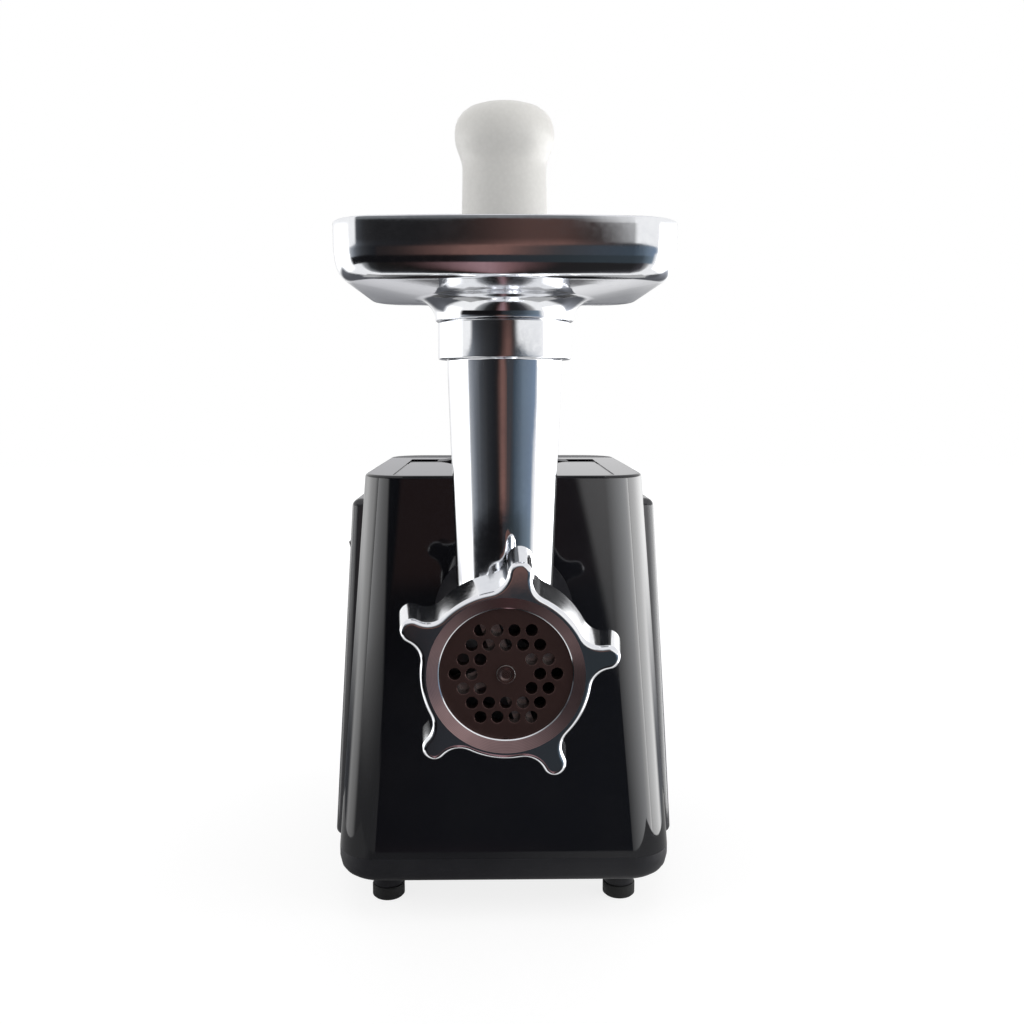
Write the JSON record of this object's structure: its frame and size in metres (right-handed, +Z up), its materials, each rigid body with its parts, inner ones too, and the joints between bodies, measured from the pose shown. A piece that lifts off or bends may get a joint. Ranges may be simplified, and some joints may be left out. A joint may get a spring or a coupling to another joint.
{
  "type": "electric meat grinder",
  "caption": "Countertop electric meat grinder: tapered gloss black body, removable cast head with feed tube, tray, pusher, ring nut, cutting plate, auger, gear train and motor.",
  "frame": {"origin": "on the surface that the feet stand on, in the middle of the outline seen from above", "axes": "+Z up, the grinding head points to -Y, +X to the right of someone who faces the head"},
  "size_m": [0.1778, 0.2776, 0.374],
  "materials": {
    "gloss_black": "high-gloss moulded plastic",
    "matte_black": "fine-textured moulded plastic",
    "rubber": "soft matt rubber",
    "aluminium": "polished die-cast aluminium",
    "steel": "bright ground steel",
    "plate_steel": "ground tool steel that mirrors its dark surroundings",
    "core_iron": "varnished core laminations",
    "copper": "enamelled copper",
    "brass": "plain brass",
    "nylon": "natural nylon",
    "carbon": "pressed carbon",
    "white_plastic": "smooth food-grade plastic"
  },
  "bodies": {
    "body": {"housing_shell": "gloss_black", "rear_cover": "matte_black", "base_tray": "matte_black", "legs": "matte_black", "rubber_feet": "rubber", "base_screws": "steel", "cover_screws": "steel", "top_panel": "gloss_black", "carry_handle": "matte_black", "side_panel_left": "matte_black", "side_panel_right": "matte_black", "head_socket_ring": "matte_black", "rocker_bezel": "gloss_black", "switch_body": "matte_black", "reverse_switch": "matte_black", "cord_gland": "rubber", "gearbox_front_plate": "steel", "gearbox_rear_plate": "steel", "gear_pins": "steel", "output_bush": "brass", "motor_bearings": "steel", "stator_core": "core_iron", "field_coils": "copper", "motor_front_bracket": "aluminium", "motor_rear_bracket": "aluminium", "motor_bolts": "steel", "brush_holders": "brass", "carbon_brushes": "carbon", "brush_springs": "steel"},
    "drive": {"output_gear": "steel", "drive_socket": "steel", "drive_shank": "steel", "thrust_washer": "nylon", "auger": "aluminium", "auger_spindle": "steel", "cross_knife": "steel"},
    "second_gear": {"second_gear": "nylon"},
    "first_gear": {"first_gear": "nylon"},
    "armature": {"motor_shaft": "steel", "armature_core": "core_iron", "armature_windings": "copper", "commutator": "copper", "cooling_fan": "nylon"},
    "head": {"grinder_head": "aluminium", "plate_key": "steel", "barrel_bush": "brass"},
    "plate": {"cutting_plate": "plate_steel"},
    "ring": {"ring_nut": "aluminium"},
    "tray": {"hopper_tray": "aluminium"},
    "pusher": {"pusher": "white_plastic"},
    "rocker": {"power_rocker": "gloss_black"},
    "reverse_button": {"reverse_button": "gloss_black"},
    "lock_button": {"lock_button": "gloss_black"}
  },
  "joints": [
    {"name": "auger_spin", "type": "hinge", "parent": "body", "child": "drive", "pos_m": [0, -0.02825, 0.155], "axis": [0, -1, 0], "continuous": true},
    {"name": "second_gear_spin", "type": "hinge", "parent": "body", "child": "second_gear", "pos_m": [-0.02581, 0.00675, 0.11814], "axis": [0, -1, 0], "continuous": true},
    {"name": "first_gear_spin", "type": "hinge", "parent": "body", "child": "first_gear", "pos_m": [-0.01427, 0.01675, 0.08642], "axis": [0, -1, 0], "continuous": true},
    {"name": "motor_spin", "type": "hinge", "parent": "body", "child": "armature", "pos_m": [0.01392, 0.07175, 0.07616], "axis": [0, -1, 0], "continuous": true},
    {"name": "head_twist", "type": "hinge", "parent": "body", "child": "head", "pos_m": [0, -0.02825, 0.155], "axis": [0, -1, 0], "range_deg": [-40, 0]},
    {"name": "plate_loosen", "type": "slide", "parent": "head", "child": "plate", "axis": [0, -1, 0], "range_m": [0, 0.0021]},
    {"name": "ring_turn", "type": "hinge", "parent": "plate", "child": "ring", "pos_m": [0, -0.12325, 0.155], "axis": [0, -1, 0], "range_deg": [0, 240]},
    {"name": "tray_lift", "type": "slide", "parent": "head", "child": "tray", "axis": [0, 0, 1], "range_m": [0, 0.06]},
    {"name": "pusher_lift", "type": "slide", "parent": "tray", "child": "pusher", "axis": [0, 0, 1], "range_m": [0, 0.15]},
    {"name": "power_rock", "type": "hinge", "parent": "body", "child": "rocker", "pos_m": [-0.07781, 0.04375, 0.171], "axis": [0, 1, 0], "range_deg": [0, 16]},
    {"name": "reverse_press", "type": "slide", "parent": "body", "child": "reverse_button", "axis": [1, 0, 0], "range_m": [0, 0.0008], "stiffness_N_per_m": 400},
    {"name": "lock_press", "type": "slide", "parent": "body", "child": "lock_button", "axis": [0, 1, 0], "range_m": [0, 0.003], "stiffness_N_per_m": 300}
  ],
  "couplings": [
    {"joint": "second_gear_spin", "follows": "auger_spin", "ratio": -4},
    {"joint": "first_gear_spin", "follows": "auger_spin", "ratio": 14},
    {"joint": "motor_spin", "follows": "auger_spin", "ratio": -70},
    {"joint": "plate_loosen", "follows": "ring_turn", "m_per_rad": 0.00047746}
  ]
}
